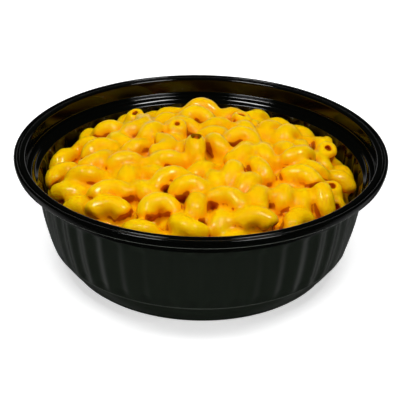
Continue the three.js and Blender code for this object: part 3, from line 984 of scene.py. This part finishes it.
def closeness(field, places, cell):
    """How closed in the surface is: 1 less the mean of the field at two distances out along the normal, each
    as a share of its distance, and more where the surface is steep or looks down."""
    slope = slopes(field, places)
    normal = slope / np.maximum(np.linalg.norm(slope, axis=1), 1e-6)[:, None]
    near, far = (np.clip(sampled(field, places + normal * probe / cell) / probe, 0, 1) for probe in PROBES)
    # this is the mask of the painted shade in the sauce's colour
    return 1 - 0.5 * (near + far) + 0.5 * np.clip(0.75 - normal[:, 2], 0, 1.2)


class MACARONI_OT_heap(bpy.types.Operator):
    """Build the heap of sauced macaroni and the sauce under it"""

    bl_idname = "macaroni.heap"
    bl_label = "Macaroni"

    def execute(self, context):
        bowl, settings = context.scene.macaroni_bowl, context.scene.macaroni_heap
        cell = settings.cell / MM
        heap = Heap(bowl, settings)
        finish_elbows(heap)
        low, field, tone = heap_field(heap, settings.fillet / MM, cell)
        places, quads = zero_surface(field)
        if not len(quads):
            raise RuntimeError("the heap's field has no surface: check the heap's sizes")
        places = relaxed(field, places, quads, RELAX_ROUNDS)
        attributes = {"crevice_shade": closeness(field, places, cell), "tone": sampled(tone, places)}
        piece = new_piece("sauced_macaroni", low + places * cell, quads, NO_TRIANGLES, attributes)
        flatten_floor(piece)
        around = np.arange(CORE_FACETS) * (2 * math.pi / CORE_FACETS)
        profile = core_profile(heap, bowl.wall / MM + HEAP_GAP)
        core = carried_round(profile, around, lambda bearing, height: 0 * bearing * height)
        levels = {"crevice_shade": np.full(len(core[0]), CORE_CREVICE), "tone": np.zeros(len(core[0]))}
        material = macaroni_material(settings)
        for part in (piece, new_piece("sauce_core", *core, levels)):
            part.data.materials.append(material)
            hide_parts("macaroni")
            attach(part, "root")
        return {"FINISHED"}


def flatten_floor(piece):
    """Joins the faces of the flat cut under the heap into one, as nothing is seen of them."""
    flat = bmesh.new()
    flat.from_mesh(piece.data)
    limit = (FIELD_FLOOR + 0.05) * MM
    hidden = [face for face in flat.faces if all(vertex.co.z < limit for vertex in face.verts)]
    bmesh.ops.dissolve_faces(flat, faces=hidden, use_verts=True)
    flat.to_mesh(piece.data)
    flat.free()


# ---------------------------------------------------------------- stage


def area_light(name, place, size, power):
    """A soft light of a width and a height at a place, turned to the target."""
    light = bpy.data.lights.new(name, "AREA")
    light.shape = "RECTANGLE"
    light.size, light.size_y = size
    light.energy = power
    lamp = bpy.data.objects.new(name, light)
    lamp.location = place
    lamp.rotation_euler = (Vector(TARGET) - Vector(place)).to_track_quat("-Z", "Y").to_euler()
    bpy.context.scene.collection.objects.link(lamp)
    return lamp


def studio_world(settings):
    """Plain white where the camera looks past the floor, and otherwise a dark room that is lighter behind,
    near the horizon. Gloss doesn't see the floor: below the horizon the room stands for it, dark in front
    and underneath and brighter to the sides."""
    world = bpy.data.worlds.new("studio")
    world.use_nodes = True
    tree = world.node_tree
    tree.nodes.clear()
    direction = Channel.add(tree, "ShaderNodeTexCoord", output=0)
    behind = Channel.add(tree, "ShaderNodeSeparateXYZ", {}, {0: direction}, output=1)
    upward = Channel.add(tree, "ShaderNodeSeparateXYZ", {}, {0: direction}, output=2)
    sides = behind.rising(-0.15, 1.4) * behind.falling(0.66, 4.0)
    floor = sides * upward.rising(-0.87, 5.0) * upward.falling(0.02, 5.0)
    haze = behind.rising(0.72, 8.0) * upward.rising(-0.62, 8.0) * upward.falling(0.225, 8.0)
    seen = Channel.add(tree, "ShaderNodeLightPath", output=0)
    strength = (floor * settings.mirror + haze * settings.haze + ROOM_GLOW) * (1 - seen) + seen
    shade = Channel.add(tree, "ShaderNodeBackground", {}, {"Color": (1, 1, 1, 1), "Strength": strength})
    Channel.add(tree, "ShaderNodeOutputWorld", {}, {"Surface": shade})
    bpy.context.scene.world = world


def studio_floor(settings):
    """A plain pale floor, wide enough to fill the view."""
    reach = FLOOR_REACH / MM
    corners = reach * np.array([[-1, -1, 0], [1, -1, 0], [1, 1, 0], [-1, 1, 0]])
    floor = new_piece("floor", corners, np.array([[0, 1, 2, 3]]), NO_TRIANGLES)
    material, tree, place = new_material("floor_paper")
    grain = noise(tree, place, scale=60.0, detail=2.0)
    inputs = {
        "Base Color": rgba(settings.floor),
        "Roughness": grain * 0.1 + 0.6,
        "Specular IOR Level": 0.1,
        "Emission Color": (1, 1, 1, 1),
        "Emission Strength": settings.glow,
    }
    finish_material(tree, inputs)
    floor.data.materials.append(material)
    floor.visible_glossy = False


def studio_camera(settings):
    """A camera in front of the bowl, raised, slightly rolled, and looking at the bowl's middle."""
    camera = bpy.data.cameras.new("camera")
    camera.lens = settings.lens
    camera.sensor_width = 36.0
    camera.clip_start = 0.05
    view = bpy.data.objects.new("camera", camera)
    aim = Vector((settings.aim_x, 0, settings.aim_z))
    back = Vector((0, -math.cos(settings.elevation), math.sin(settings.elevation)))
    turn = back.to_track_quat("Z", "Y").to_matrix().to_4x4() @ Matrix.Rotation(settings.roll, 4, "Z")
    view.matrix_world = Matrix.Translation(aim + back * settings.distance) @ turn
    bpy.context.scene.collection.objects.link(view)
    bpy.context.scene.camera = view


class MACARONI_OT_stage(bpy.types.Operator):
    """Build the floor, the lights and the camera"""

    bl_idname = "macaroni.stage"
    bl_label = "Stage"

    def execute(self, context):
        settings = context.scene.macaroni_stage
        aside, *rest = SIDE_LIGHT_PLACE
        area_light("side_light_left", (-aside, *rest), SIDE_LIGHT_SIZE, settings.side_power)
        area_light("side_light_right", (aside, *rest), SIDE_LIGHT_SIZE, settings.side_power)
        aside, *rest = FRONT_LIGHT_PLACE
        for soft in (
            area_light("top_light", TOP_LIGHT_PLACE, TOP_LIGHT_SIZE, settings.top_power),
            area_light("front_light_left", (-aside, *rest), FRONT_LIGHT_SIZE, settings.front_power),
            area_light("front_light_right", (aside, *rest), FRONT_LIGHT_SIZE, settings.front_power),
        ):
            soft.visible_glossy = False
        studio_world(settings)
        studio_floor(settings)
        studio_camera(settings)
        context.scene.view_settings.view_transform = "Standard"
        return {"FINISHED"}


class MACARONI_PT_panel(bpy.types.Panel):
    """Lists the pieces and their settings"""

    bl_label = "Macaroni and cheese"
    bl_idname = "MACARONI_PT_panel"
    bl_space_type = "VIEW_3D"
    bl_region_type = "UI"
    bl_category = "Macaroni"

    def draw(self, context):
        for operator, settings in (
            (MACARONI_OT_bowl, context.scene.macaroni_bowl),
            (MACARONI_OT_heap, context.scene.macaroni_heap),
            (MACARONI_OT_stage, context.scene.macaroni_stage),
        ):
            self.layout.operator(operator.bl_idname)
            for key in settings.__annotations__:
                self.layout.prop(settings, key)


CLASSES = (
    BowlSettings,
    HeapSettings,
    StageSettings,
    MACARONI_OT_bowl,
    MACARONI_OT_heap,
    MACARONI_OT_stage,
    MACARONI_PT_panel,
)


def register():
    for cls in CLASSES:
        bpy.utils.register_class(cls)
    bpy.types.Scene.macaroni_bowl = PointerProperty(type=BowlSettings)
    bpy.types.Scene.macaroni_heap = PointerProperty(type=HeapSettings)
    bpy.types.Scene.macaroni_stage = PointerProperty(type=StageSettings)


def unregister():
    del bpy.types.Scene.macaroni_bowl
    del bpy.types.Scene.macaroni_heap
    del bpy.types.Scene.macaroni_stage
    for cls in reversed(CLASSES):
        bpy.utils.unregister_class(cls)


def main():
    register()
    bpy.ops.macaroni.bowl()
    bpy.ops.macaroni.heap()
    bpy.ops.macaroni.stage()


if __name__ == "__main__":
    main()
